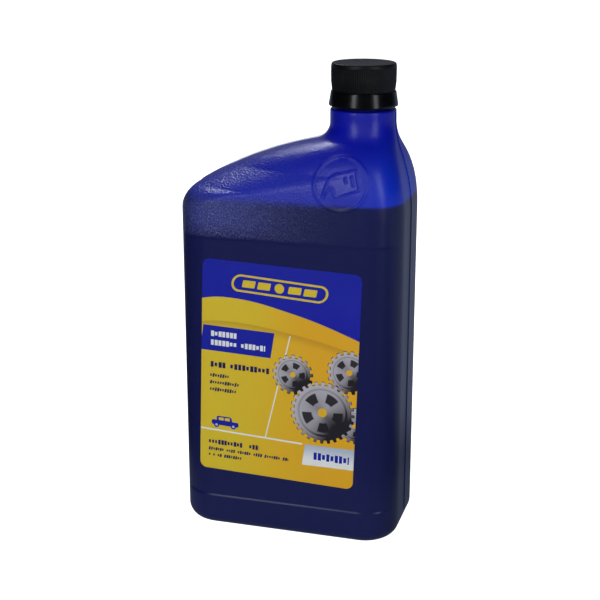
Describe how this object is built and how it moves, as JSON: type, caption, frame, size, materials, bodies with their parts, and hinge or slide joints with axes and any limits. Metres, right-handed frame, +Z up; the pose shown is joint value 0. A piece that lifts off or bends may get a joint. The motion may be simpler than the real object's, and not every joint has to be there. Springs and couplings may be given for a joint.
{
  "type": "motor oil bottle",
  "caption": "Flat blow-moulded bottle of motor oil with an offset neck, sloping shoulder, screw cap on a tamper band, and a label front and back.",
  "frame": {"origin": "middle of the base, on the surface the bottle stands on", "axes": "+Z up, +X across the bottle towards the side that holds the neck, -Y out of the front label"},
  "size_m": [0.1088, 0.0605, 0.2285],
  "materials": {
    "bottle_plastic": "satin translucent blue polyethylene, grained on the shoulder",
    "cap_plastic": "matt black moulded cap",
    "band_plastic": "glossy black moulded ring",
    "liner_foam": "white foamed disc",
    "seal_foil": "bright foil",
    "label_film": "printed film, semi-gloss",
    "engine_oil": "clear amber oil"
  },
  "bodies": {
    "bottle": {"bottle": "bottle_plastic", "motor_oil": "engine_oil", "foil_seal": "seal_foil", "tamper_band": "band_plastic", "front_label": "label_film", "back_label": "label_film"},
    "liner": {"cap_liner": "liner_foam"},
    "cap": {"cap": "cap_plastic"}
  },
  "joints": [
    {"name": "cap_lift", "type": "slide", "parent": "bottle", "child": "liner", "axis": [0, 0, 1], "range_m": [0, 0.0148]},
    {"name": "cap_turn", "type": "hinge", "parent": "liner", "child": "cap", "pos_m": [0.0304, 0, 0.216], "axis": [0, 0, 1], "range_deg": [0, 1260]}
  ],
  "couplings": [
    {"joint": "cap_lift", "follows": "cap_turn", "m_per_rad": 0.00066845}
  ]
}
